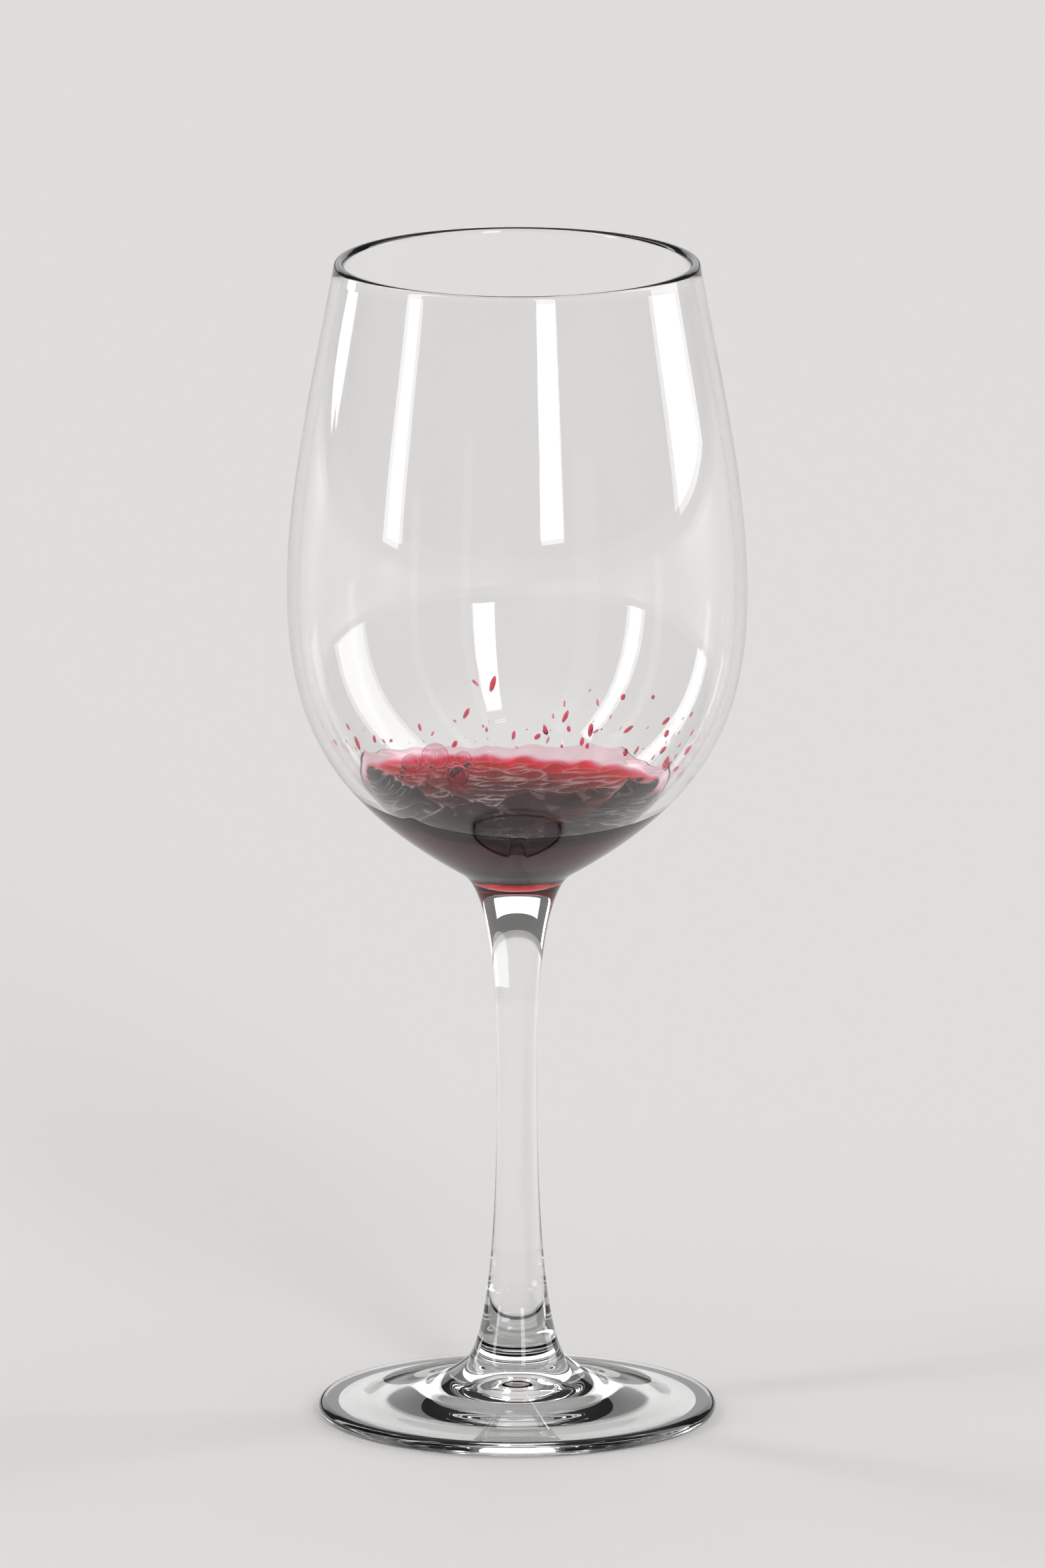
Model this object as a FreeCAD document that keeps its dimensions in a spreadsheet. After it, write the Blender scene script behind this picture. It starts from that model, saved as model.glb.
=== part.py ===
import FreeCAD, Part
import math
import os

import Sketcher

# A stemmed red wine glass holding a small, freshly poured measure of red wine.
# Millimetres.  The origin is the middle of the circle that the foot stands on, +Z runs up the
# stem and -Y is the front.  "glass" is one blown and pulled piece: bowl, stem and foot.
# "wine" fills the bottom of the bowl, flush with its inside, up to a surface that still sloshes.

SIZES = [
    # name, value, meaning
    ("glass_height", 220.0, "from the table to the top of the lip"),
    ("rim_radius", 34.2, "outside radius at the lip"),
    ("rim_lean", 10.1, "inward lean of the wall at the lip, in degrees"),
    ("lip_thickness", 1.9, "the lip is rounded to half of this"),
    ("bowl_radius", 43.0, "outside radius at the widest place"),
    ("belly_height", 157.0, "height of the widest place"),
    ("bowl_wall", 2.0, "wall at the widest place"),
    ("neck_radius", 10.6, "outside radius where the bowl turns into the stem"),
    ("neck_height", 103.8, "height of that place"),
    ("neck_slope", 30.4, "slope of the outside there, in degrees above level"),
    ("floor_drop", 0.7, "how far the lowest point of the inside lies below that place"),
    ("stem_radius", 3.86, "thinnest place of the stem"),
    ("waist_height", 58.0, "height of the thinnest place"),
    ("collar_radius", 9.2, "corner where the flared stem meets the foot"),
    ("collar_height", 10.5, "height of that corner"),
    ("collar_lean", 36.6, "lean of the stem's side at the corner, in degrees"),
    ("foot_slope", 44.2, "fall of the foot's top at the corner, in degrees"),
    ("foot_radius", 37.25, "outside radius of the foot"),
    ("foot_edge", 2.7, "thickness at the edge, which is fully rounded"),
    ("ring_width", 2.4, "flat standing ring inside the rounded edge"),
    ("dome_radius", 20.5, "where the underside turns up into its dome"),
    ("dome_height", 1.0, "height of the underside there"),
    ("dimple_radius", 9.6, "edge of the dimple in the middle of the dome"),
    ("dimple_height", 3.0, "height of the underside there"),
    ("dimple_top", 4.8, "height of the underside on the axis"),
    # how far a curve's inner control points stand off its ends, as a share of its span
    ("rim_pull", 0.326, "outside, from the lip down"),
    ("belly_pull_up", 0.320, "outside, from the belly up"),
    ("belly_pull_down", 0.466, "outside, from the belly down"),
    ("neck_pull_up", 0.526, "outside, from the neck up"),
    ("neck_pull_down", 0.205, "stem, from the neck down"),
    ("waist_pull_up", 0.118, "stem, from the waist up"),
    ("waist_pull_down", 0.437, "stem, from the waist down"),
    ("collar_pull", 0.134, "stem, from the collar up"),
    ("foot_pull_out", 0.199, "top of the foot, from the collar out"),
    ("foot_pull_in", 0.558, "top of the foot, from the edge in"),
    ("underside_pull", 0.5, "underside, from both ends of each swing"),
    ("inside_rim_pull", 0.349, "inside, from the lip down"),
    ("inside_belly_pull", 0.318, "inside, from the belly up"),
    ("inside_drop_pull", 0.646, "inside, from the belly down"),
    # the rest of the inside's control points, which follow the outside's
    ("inside_turn_in", 0.2212, "middle one, in from the outside's upper neck handle, of the inside radius"),
    ("inside_turn_up", 0.447, "the same one, up from that handle, in mm"),
    ("floor_spread", 1.413, "lowest one, out from the neck radius, in mm"),
    # the surface of the wine
    ("wine_depth", 14.1, "depth over the lowest point of the inside"),
    ("tilt_left", 0.034, "rise for each mm to the left"),
    ("tilt_back", 0.06, "rise for each mm to the back"),
    ("wall_rise", 0.0026, "rise to both sides, for each mm squared"),
    ("crest_height", 1.8, "long crest slantwise across the glass"),
    ("crest_front", 9.0, "how far in front of the axis its middle stands"),
    ("crest_turn", 31.8, "its slant, in degrees from left to right"),
    ("crest_breadth", 3.0, "its half breadth"),
    ("crest_reach", 23.5, "its half length"),
    ("swell_height", 1.6, "shorter crest beside the left wall"),
    ("swell_left", 22.0, "its middle, left of the axis"),
    ("swell_front", 2.0, "its middle, in front of the axis"),
    ("swell_turn", -65.0, "its slant, in degrees from left to right"),
    ("swell_breadth", 2.8, "its half breadth"),
    ("swell_reach", 11.0, "its half length"),
    ("pour_right", 6.9, "where wine ran in down the back wall, right of the axis"),
    ("pour_back", 24.0, "the same, behind the axis"),
    ("ripple_height", 0.32, "rings that run out from there"),
    ("ripple_length", 6.4, "from one ring to the next"),
    ("ripple_reach", 26.0, "distance over which they die out"),
    ("surface_step", 2.5, "spacing of the points that carry the surface"),
]


def make_sheet(doc):
    """Put every driving size in a cell of its own, with its meaning beside it."""
    sheet = doc.addObject("Spreadsheet::Sheet", "Sizes")
    for row, (name, value, meaning) in enumerate(SIZES, start=1):
        sheet.set(f"A{row}", str(value))
        sheet.setAlias(f"A{row}", name)
        sheet.set(f"B{row}", meaning)
    doc.recompute()
    return sheet


def outline_sketch(body, name):
    """An empty sketch on the body's own XZ plane: its x is the radius and its y the height."""
    sketch = body.newObject("Sketcher::SketchObject", name)
    plane = next(item for item in body.Origin.OriginFeatures if item.Role == "XZ_Plane")
    sketch.AttachmentSupport = [(plane, "")]
    sketch.MapMode = "FlatFace"
    return sketch


def hold(sketch, kind, point, expression, name):
    """Hold a point (geometry, end) at the distance from the origin that the sheet gives."""
    index = sketch.addConstraint(Sketcher.Constraint(kind, -1, 1, *point, 1.0))
    sketch.renameConstraint(index, name)
    sketch.setExpression(f"Constraints.{name}", expression)


def add_curve(sketch, name, poles, after=None):
    """Add a Bezier curve whose poles are (radius, height), each an expression of the sheet.

    A radius of None puts a pole on the axis.  After an earlier curve, the new one starts at its
    end, and the poles given are those that follow.
    """
    given = len(poles)
    count = given if after is None else given + 1
    spread = [FreeCAD.Vector(place + 1.0, place + 1.0, 0) for place in range(count)]
    curve = Part.BSplineCurve()
    curve.buildFromPolesMultsKnots(spread, [count, count], [0.0, 1.0], False, count - 1)
    index = sketch.addGeometry(curve, False)
    sketch.exposeInternalGeometry(index)
    if after is not None:
        sketch.addConstraint(Sketcher.Constraint("Coincident", after, 2, index, 1))
    for place, (radius, height) in enumerate(poles, start=count - given):
        pole = (index + 1 + place, 3)
        if radius is None:
            sketch.addConstraint(Sketcher.Constraint("PointOnObject", *pole, -2))
        else:
            hold(sketch, "DistanceX", pole, radius, f"{name}_radius_{place}")
        hold(sketch, "DistanceY", pole, height, f"{name}_height_{place}")
    return index


def add_line(sketch, first, second):
    """Join two points of the sketch, each (geometry, end), with a straight edge."""
    line = Part.LineSegment(sketch.getPoint(*first), sketch.getPoint(*second))
    index = sketch.addGeometry(line, False)
    sketch.addConstraint(Sketcher.Constraint("Coincident", index, 1, *first))
    sketch.addConstraint(Sketcher.Constraint("Coincident", index, 2, *second))
    return index


def add_base_line(sketch, name, outer, inner):
    """Add a straight edge along the ground from one radius in to another."""
    line = Part.LineSegment(FreeCAD.Vector(2, 0, 0), FreeCAD.Vector(1, 0, 0))
    index = sketch.addGeometry(line, False)
    for end, radius in ((1, outer), (2, inner)):
        sketch.addConstraint(Sketcher.Constraint("PointOnObject", index, end, -1))
        hold(sketch, "DistanceX", (index, end), radius, f"{name}_radius_{end}")
    return index


def add_round(sketch, name, first, second, kind, expression):
    """Round off with a half circle that bulges to the left of the way from first to second.

    One coordinate of its centre, DistanceX or DistanceY, is held by the expression.
    """
    begin = sketch.getPoint(*first)
    end = sketch.getPoint(*second)
    along = end - begin
    bulge = FreeCAD.Vector(-along.y, along.x, 0) / 2
    arc = Part.Arc(begin, (begin + end) / 2 + bulge, end)
    index = sketch.addGeometry(arc, False)
    starts_at_first = sketch.getPoint(index, 1).isEqual(begin, along.Length / 2)
    begin_end = (first, second) if starts_at_first else (second, first)
    sketch.addConstraint(Sketcher.Constraint("Coincident", index, 1, *begin_end[0]))
    sketch.addConstraint(Sketcher.Constraint("Coincident", index, 2, *begin_end[1]))
    hold(sketch, kind, (index, 3), expression, name)


def revolve(body, sketch, name):
    """Turn the outline once round the axis of the stem."""
    turned = body.newObject("PartDesign::Revolution", name)
    turned.Profile = sketch
    turned.ReferenceAxis = (sketch, ["V_Axis"])
    turned.Angle = 360.0


def neck_handle():
    """The outside's control point above the neck, along its slope there."""
    reach = "Sizes.neck_pull_up * (Sizes.belly_height - Sizes.neck_height)"
    return (
        f"(Sizes.neck_radius + {reach} * cos(Sizes.neck_slope))",
        f"(Sizes.neck_height + {reach} * sin(Sizes.neck_slope))",
    )


def lower_inside():
    """Poles of the inside of the bowl from its widest place down to the axis.

    They follow the outside's poles, so that the wall stays between the two.
    """
    radius = "(Sizes.bowl_radius - Sizes.bowl_wall)"
    floor = "(Sizes.neck_height - Sizes.floor_drop)"
    turn_radius, turn_height = neck_handle()
    return [
        (radius, "Sizes.belly_height"),
        (radius, f"Sizes.belly_height - Sizes.inside_drop_pull * (Sizes.belly_height - {floor})"),
        (f"{turn_radius} - Sizes.inside_turn_in * {radius}", f"{turn_height} + Sizes.inside_turn_up"),
        ("Sizes.neck_radius + Sizes.floor_spread", floor),
        (None, floor),
    ]


def level_swing(start_radius, end_radius, start_height, end_height):
    """Poles after a start: leave it level, swing over and arrive level at the end, further in."""
    reach = f"Sizes.underside_pull * ({start_radius} - {end_radius or 0})"
    return [
        (f"{start_radius} - {reach}", start_height),
        (f"{end_radius or 0} + {reach}", end_height),
        (end_radius, end_height),
    ]


def draw_outside(sketch):
    """Outside of the glass from the lip down to the foot's edge: its first and last curve."""
    half_lip = "Sizes.lip_thickness / 2"
    lip_out = f"(Sizes.rim_radius - {half_lip} + {half_lip} * cos(Sizes.rim_lean))"
    lip_up = f"(Sizes.glass_height - {half_lip} + {half_lip} * sin(Sizes.rim_lean))"
    bowl_rise = "(Sizes.glass_height - Sizes.belly_height)"
    bowl_drop = "(Sizes.belly_height - Sizes.neck_height)"
    upper_stem = "(Sizes.neck_height - Sizes.waist_height)"
    lower_stem = "(Sizes.waist_height - Sizes.collar_height)"
    edge_centre = "(Sizes.foot_radius - Sizes.foot_edge / 2)"
    foot_span = f"({edge_centre} - Sizes.collar_radius)"

    rim_reach = f"Sizes.rim_pull * {bowl_rise}"
    upper_bowl = add_curve(sketch, "upper_bowl", [
        (lip_out, lip_up),
        (f"{lip_out} + {rim_reach} * sin(Sizes.rim_lean)", f"{lip_up} - {rim_reach} * cos(Sizes.rim_lean)"),
        ("Sizes.bowl_radius", f"Sizes.belly_height + Sizes.belly_pull_up * {bowl_rise}"),
        ("Sizes.bowl_radius", "Sizes.belly_height"),
    ])
    lower_bowl = add_curve(sketch, "lower_bowl", [
        ("Sizes.bowl_radius", f"Sizes.belly_height - Sizes.belly_pull_down * {bowl_drop}"),
        neck_handle(),
        ("Sizes.neck_radius", "Sizes.neck_height"),
    ], after=upper_bowl)
    neck_drop = f"Sizes.neck_pull_down * {upper_stem}"
    neck = add_curve(sketch, "neck", [
        (
            f"Sizes.neck_radius - {neck_drop} * cos(Sizes.neck_slope)",
            f"Sizes.neck_height - {neck_drop} * sin(Sizes.neck_slope)",
        ),
        ("Sizes.stem_radius", f"Sizes.waist_height + Sizes.waist_pull_up * {upper_stem}"),
        ("Sizes.stem_radius", "Sizes.waist_height"),
    ], after=lower_bowl)
    collar_reach = f"Sizes.collar_pull * {lower_stem}"
    stem = add_curve(sketch, "stem", [
        ("Sizes.stem_radius", f"Sizes.waist_height - Sizes.waist_pull_down * {lower_stem}"),
        (
            f"Sizes.collar_radius - {collar_reach} * sin(Sizes.collar_lean)",
            f"Sizes.collar_height + {collar_reach} * cos(Sizes.collar_lean)",
        ),
        ("Sizes.collar_radius", "Sizes.collar_height"),
    ], after=neck)
    foot_reach = f"Sizes.foot_pull_out * {foot_span}"
    foot = add_curve(sketch, "foot", [
        (
            f"Sizes.collar_radius + {foot_reach} * cos(Sizes.foot_slope)",
            f"Sizes.collar_height - {foot_reach} * sin(Sizes.foot_slope)",
        ),
        (f"{edge_centre} - Sizes.foot_pull_in * {foot_span}", "Sizes.foot_edge"),
        (edge_centre, "Sizes.foot_edge"),
    ], after=stem)
    return upper_bowl, foot


def draw_inside(sketch):
    """Inside of the bowl from the lip down to the axis: its first and last curve."""
    half_lip = "Sizes.lip_thickness / 2"
    lip_in = f"(Sizes.rim_radius - {half_lip} - {half_lip} * cos(Sizes.rim_lean))"
    lip_down = f"(Sizes.glass_height - {half_lip} - {half_lip} * sin(Sizes.rim_lean))"
    bowl_rise = "(Sizes.glass_height - Sizes.belly_height)"
    rim_reach = f"Sizes.inside_rim_pull * {bowl_rise}"
    belly, *below = lower_inside()
    upper = add_curve(sketch, "upper_inside", [
        (lip_in, lip_down),
        (f"{lip_in} + {rim_reach} * sin(Sizes.rim_lean)", f"{lip_down} - {rim_reach} * cos(Sizes.rim_lean)"),
        (belly[0], f"{belly[1]} + Sizes.inside_belly_pull * {bowl_rise}"),
        belly,
    ])
    lower = add_curve(sketch, "lower_inside", below, after=upper)
    return upper, lower


def draw_underside(sketch):
    """Underside of the foot from its standing ring in to the axis: its first and last curve."""
    edge_centre = "(Sizes.foot_radius - Sizes.foot_edge / 2)"
    ring_inside = f"({edge_centre} - Sizes.ring_width)"
    ring = add_base_line(sketch, "ring", edge_centre, ring_inside)
    hollow = add_curve(
        sketch, "hollow",
        level_swing(ring_inside, "Sizes.dome_radius", "0", "Sizes.dome_height"), after=ring)
    dome = add_curve(
        sketch, "dome",
        level_swing("Sizes.dome_radius", "Sizes.dimple_radius", "Sizes.dome_height", "Sizes.dimple_height"),
        after=hollow)
    dimple = add_curve(
        sketch, "dimple",
        level_swing("Sizes.dimple_radius", None, "Sizes.dimple_height", "Sizes.dimple_top"), after=dome)
    return ring, dimple


def make_glass(doc):
    """The whole glass as one turned solid: lip, bowl, stem, foot and hollowed underside."""
    body = doc.addObject("PartDesign::Body", "glass")
    sketch = outline_sketch(body, "glass_outline")
    outside_first, outside_last = draw_outside(sketch)
    inside_first, inside_last = draw_inside(sketch)
    underside_first, underside_last = draw_underside(sketch)
    doc.recompute()
    add_round(
        sketch, "lip_centre", (inside_first, 1), (outside_first, 1), "DistanceY",
        "Sizes.glass_height - Sizes.lip_thickness / 2")
    add_round(
        sketch, "edge_centre", (outside_last, 2), (underside_first, 1), "DistanceX",
        "Sizes.foot_radius - Sizes.foot_edge / 2")
    add_line(sketch, (underside_last, 2), (inside_last, 2))
    revolve(body, sketch, "glass_turned")
    return body


def make_bowl_filling(doc):
    """The lower inside of the bowl as a solid, up to its widest place."""
    body = doc.addObject("PartDesign::Body", "bowl_filling")
    sketch = outline_sketch(body, "filling_outline")
    side = add_curve(sketch, "side", lower_inside())
    doc.recompute()
    wall = sketch.getPoint(side, 1)
    lid = sketch.addGeometry(Part.LineSegment(FreeCAD.Vector(0, wall.y, 0), wall), False)
    sketch.addConstraint(Sketcher.Constraint("PointOnObject", lid, 1, -2))
    sketch.addConstraint(Sketcher.Constraint("Horizontal", lid))
    sketch.addConstraint(Sketcher.Constraint("Coincident", lid, 2, side, 1))
    add_line(sketch, (side, 2), (lid, 1))
    revolve(body, sketch, "filling_turned")
    return body


def ridge(x, y, turn, height, breadth, reach):
    """A long bump over the origin, turned from the X axis, that dies out along and across."""
    slant = math.radians(turn)
    along = x * math.cos(slant) + y * math.sin(slant)
    across = y * math.cos(slant) - x * math.sin(slant)
    return height * math.exp(-((along / reach) ** 2) - (across / breadth) ** 2)


def surface_height(sizes, x, y):
    """Height of the wine: a tilted sheet that climbs both sides, two ridges and dying rings."""
    level = sizes.neck_height - sizes.floor_drop + sizes.wine_depth
    sheet = sizes.tilt_back * y - sizes.tilt_left * x + sizes.wall_rise * x**2
    crest = ridge(
        x, y + sizes.crest_front,
        sizes.crest_turn, sizes.crest_height, sizes.crest_breadth, sizes.crest_reach)
    swell = ridge(
        x + sizes.swell_left, y + sizes.swell_front,
        sizes.swell_turn, sizes.swell_height, sizes.swell_breadth, sizes.swell_reach)
    from_pour = math.hypot(x - sizes.pour_right, y - sizes.pour_back)
    fading = sizes.ripple_height * math.exp(-from_pour / sizes.ripple_reach)
    rings = fading * math.cos(2 * math.pi * from_pour / sizes.ripple_length)
    return level + sheet + crest + swell + rings


def make_headspace(doc, sizes):
    """The air above the wine: a block whose lower face is the wavy surface."""
    steps = math.ceil(2 * sizes.bowl_radius / sizes.surface_step)
    places = [sizes.bowl_radius * (2 * step / steps - 1) for step in range(steps + 1)]
    points = [[FreeCAD.Vector(x, y, surface_height(sizes, x, y)) for y in places] for x in places]
    surface = Part.BSplineSurface()
    surface.interpolate(points)
    headspace = doc.addObject("Part::Feature", "headspace")
    headspace.Shape = surface.toShape().extrude(FreeCAD.Vector(0, 0, sizes.glass_height))
    return headspace


def make_wine(doc, sizes):
    """The measure of wine: the bowl's filling with the air above it cut away."""
    wine = doc.addObject("Part::Cut", "wine")
    wine.Base = make_bowl_filling(doc)
    wine.Tool = make_headspace(doc, sizes)
    return wine


def check(doc, parts):
    """Stop unless every object was computed and every part is one valid closed solid."""
    for item in doc.Objects:
        if {"Invalid", "Error"} & set(item.State):
            raise RuntimeError(f"{item.Label} failed: {item.State}")
        if item.TypeId == "Sketcher::SketchObject" and not item.FullyConstrained:
            raise RuntimeError(f"{item.Label} is not fully constrained")
    for part in parts:
        shape = part.Shape
        if shape.isNull() or not shape.isValid() or len(shape.Solids) != 1:
            raise RuntimeError(f"{part.Label} is not one valid solid")
        print(part.Label, "volume", round(shape.Volume, 1), "box", shape.BoundBox)


def main():
    doc = FreeCAD.newDocument("glass_of_red_wine")
    sizes = make_sheet(doc)
    parts = [make_glass(doc), make_wine(doc, sizes)]
    doc.recompute()
    check(doc, parts)
    os.makedirs("parts", exist_ok=True)
    for part in parts:
        part.Shape.exportStep(f"parts/{part.Label}.step")


main()
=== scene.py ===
import math

import bpy
import numpy as np
from bpy.props import FloatProperty, FloatVectorProperty, IntProperty, PointerProperty
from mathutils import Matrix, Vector


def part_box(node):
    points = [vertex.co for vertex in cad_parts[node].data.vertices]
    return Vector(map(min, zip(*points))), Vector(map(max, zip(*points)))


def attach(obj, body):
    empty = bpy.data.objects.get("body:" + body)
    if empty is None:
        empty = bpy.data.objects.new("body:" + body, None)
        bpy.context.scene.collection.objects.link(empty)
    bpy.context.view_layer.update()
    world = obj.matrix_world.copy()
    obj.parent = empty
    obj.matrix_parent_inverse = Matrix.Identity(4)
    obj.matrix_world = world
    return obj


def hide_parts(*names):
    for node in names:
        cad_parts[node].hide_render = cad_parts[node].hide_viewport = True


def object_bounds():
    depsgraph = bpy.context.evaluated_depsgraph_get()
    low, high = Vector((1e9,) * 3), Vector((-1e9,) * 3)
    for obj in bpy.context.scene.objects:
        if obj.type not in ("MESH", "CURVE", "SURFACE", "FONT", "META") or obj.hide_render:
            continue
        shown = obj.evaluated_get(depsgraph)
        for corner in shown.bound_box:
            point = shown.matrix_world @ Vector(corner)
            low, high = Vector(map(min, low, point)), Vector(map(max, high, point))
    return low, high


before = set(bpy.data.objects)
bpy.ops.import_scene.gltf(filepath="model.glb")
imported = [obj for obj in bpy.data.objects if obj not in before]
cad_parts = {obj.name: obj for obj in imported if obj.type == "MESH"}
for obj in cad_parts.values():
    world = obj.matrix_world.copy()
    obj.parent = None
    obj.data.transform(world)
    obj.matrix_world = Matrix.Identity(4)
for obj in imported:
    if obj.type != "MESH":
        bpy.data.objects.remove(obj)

bl_info = {
    "name": "Glass of Red Wine",
    "version": (1, 0, 0),
    "blender": (4, 5, 0),
    "location": "3D View > Sidebar > Red Wine",
    "description": "Builds a stemmed glass with a small, still rippling measure of red wine",
    "category": "Object",
}

MM = 0.001
FRAME_LOW, FRAME_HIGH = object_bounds()
WINE_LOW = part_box("wine")[0]

# Short waves: length in millimetres and weight of each train; mean and spread of their headings
CHOP_TRAINS = ((13.0, 1.0), (8.5, 0.8), (6.1, 0.45))
CHOP_HEADING = math.radians(102.0)
CHOP_SPREAD = 0.4
CHOP_SEED = 11

# What bends their lines to the right and to the back: size and length in millimetres, and phase
BENDS_RIGHT = ((1.3, 3.1, 0.7), (0.3, 1.3, 0.0))
BENDS_BACK = ((1.1, 4.3, 2.1), (0.3, 1.7, 0.0))

# Sharp crests: right, behind, turn in degrees, height, half thickness and reach, in millimetres
SHARP_CRESTS = (
    (0.0, -9.0, 31.8, 1.7, 1.1, 22.0),
    (8.0, -15.5, 6.0, 1.5, 0.9, 8.0),
    (-9.0, -16.5, -14.0, 1.4, 0.9, 8.0),
    (-17.5, -5.0, -58.0, 1.7, 0.9, 8.0),
    (-13.0, 0.0, -40.0, 1.2, 0.8, 6.0),
    (10.0, 0.5, 24.0, 1.0, 0.8, 9.0),
    (19.5, 2.0, 62.0, 1.8, 1.0, 8.0),
    (-3.0, 9.0, 8.0, 0.6, 0.9, 9.0),
)

# Size and length of the waves that bend a crest's line, and that make its height uneven
CREST_BENDS = ((0.9, 2.9), (0.35, 1.3))
CREST_UNEVENNESS = ((0.25, 2.1), (0.1, 1.1))
CREST_EDGE = 0.1

# The film over the shore: its least height, then height in millimetres, middle and half breadth
# in degrees of each place where wine has washed up, then waves round the axis, size and phase
FILM_MARGIN = 0.4
FILM_WASHES = ((3.2, 58.0, 22.0), (1.2, 100.0, 24.0), (2.6, 12.0, 14.0), (1.6, 150.0, 22.0))
FILM_RIPPLES = ((9.0, 0.09, 1.0), (23.0, 0.06, 0.0), (47.0, 0.02, 0.0))
FILM_LEAST = 0.01

# Bubbles with a place of their own: right, behind, radius, skin and rise over the wine, in mm
PLACED_BUBBLES = (
    (-11.2, 9.0, 2.1, 0.20, 1.5),
    (-15.6, 18.6, 2.7, 0.03, 2.0),
    (-10.3, 21.4, 1.7, 0.03, 1.2),
    (-20.2, 13.9, 1.9, 0.03, 1.4),
    (-6.2, 23.0, 1.2, 0.03, 0.8),
    (-2.0, -7.6, 0.9, 0.12, 0.6),
)

# Bearings in degrees around which drops hit the wall, and the share of all drops at each
DROP_BEARINGS = (62.0, 12.0, 100.0, 158.0)
DROP_SHARES = (0.4, 0.25, 0.2, 0.15)

# Soft lights: name, bearing in degrees, height of the middle, width and height, brightness
SOFTBOXES = (
    ("strip_front_right", 18.0, 1.95, (0.62, 3.4), 5.5),
    ("strip_left", -67.0, 2.2, (0.50, 4.2), 5.0),
    ("panel_right", 105.0, 2.1, (1.4, 4.0), 3.2),
    ("strip_back_left", -125.0, 2.1, (0.55, 4.0), 4.5),
    ("panel_back", 180.0, 1.0, (3.2, 1.2), 1.1),
)
SOFTBOX_DISTANCE = 3.0


def length(name, description, default):
    """A size in metres that a user would change, given in millimetres."""
    return FloatProperty(
        name=name, description=description, default=default * MM, unit="LENGTH", precision=5)


def share(name, description, default):
    """A plain ratio that a user would change."""
    return FloatProperty(name=name, description=description, default=default, precision=4)


def angle(name, description, default):
    """An angle that a user would change, given in degrees."""
    return FloatProperty(
        name=name, description=description, default=math.radians(default), subtype="ANGLE")


def colour(name, description, default):
    """A plain colour that a user would change."""
    return FloatVectorProperty(
        name=name, description=description, default=default, subtype="COLOR", min=0.0, max=1.0)


class GlassSizes(bpy.types.PropertyGroup):
    """Sizes of the blown glass; its height and widest place come from the frame."""

    rim_radius: length("Rim Radius", "Outside radius at the lip", 34.2)
    rim_lean: angle("Rim Lean", "Inward lean of the wall at the lip", 10.1)
    lip_thickness: length("Lip Thickness", "The lip is rounded to half of this", 1.9)
    belly_height: length("Belly Height", "Height of the widest place", 157.0)
    bowl_wall: length("Bowl Wall", "Wall at the widest place", 2.0)
    neck_radius: length("Neck Radius", "Outside radius where bowl turns into stem", 10.6)
    neck_height: length("Neck Height", "Height where bowl turns into stem", 103.8)
    neck_slope: angle("Neck Slope", "Slope of the outside there, above level", 30.4)
    stem_radius: length("Stem Radius", "Thinnest place of the stem", 3.86)
    waist_height: length("Waist Height", "Height of the thinnest place", 58.0)
    collar_radius: length("Collar Radius", "Corner where stem meets foot", 9.2)
    collar_height: length("Collar Height", "Height of that corner", 10.5)
    collar_lean: angle("Collar Lean", "Lean of the stem's side at the corner", 36.6)
    foot_slope: angle("Foot Slope", "Fall of the foot's top at the corner", 44.2)
    foot_radius: length("Foot Radius", "Outside radius of the foot", 37.25)
    foot_edge: length("Foot Edge", "Thickness of the rounded edge", 2.7)
    ring_width: length("Ring Width", "Flat standing ring inside the edge", 2.4)
    dome_radius: length("Dome Radius", "Where the underside turns up", 20.5)
    dome_height: length("Dome Height", "Height of the underside there", 1.0)
    dimple_radius: length("Dimple Radius", "Edge of the underside's dimple", 9.6)
    dimple_height: length("Dimple Height", "Height of the underside there", 3.0)
    dimple_top: length("Dimple Top", "Height of the underside on the axis", 4.8)
    rim_pull: share("Rim Pull", "Outside handle from the lip down", 0.326)
    belly_pull_up: share("Belly Pull Up", "Outside handle from the belly up", 0.320)
    belly_pull_down: share("Belly Pull Down", "Outside handle from the belly down", 0.466)
    neck_pull_up: share("Neck Pull Up", "Outside handle from the neck up", 0.526)
    neck_pull_down: share("Neck Pull Down", "Stem handle from the neck down", 0.205)
    waist_pull_up: share("Waist Pull Up", "Stem handle from the waist up", 0.118)
    waist_pull_down: share("Waist Pull Down", "Stem handle from the waist down", 0.437)
    collar_pull: share("Collar Pull", "Stem handle from the collar up", 0.134)
    foot_pull_out: share("Foot Pull Out", "Foot handle from the collar out", 0.199)
    foot_pull_in: share("Foot Pull In", "Foot handle from the edge in", 0.558)
    inside_rim_pull: share("Inside Rim Pull", "Inside handle from the lip down", 0.349)
    inside_belly_pull: share("Inside Belly Pull", "Inside handle from the belly up", 0.318)
    inside_drop_pull: share("Inside Drop Pull", "Inside handle from the belly down", 0.646)
    inside_turn_in: share("Inside Turn In", "Middle handle, in from the outside's", 0.2212)
    inside_turn_up: length("Inside Turn Up", "Middle handle, up from the outside's", 0.447)
    floor_spread: length("Floor Spread", "Lowest handle, out from the neck", 1.413)
    segments: IntProperty(name="Segments", description="Steps round the axis", default=248)


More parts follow.
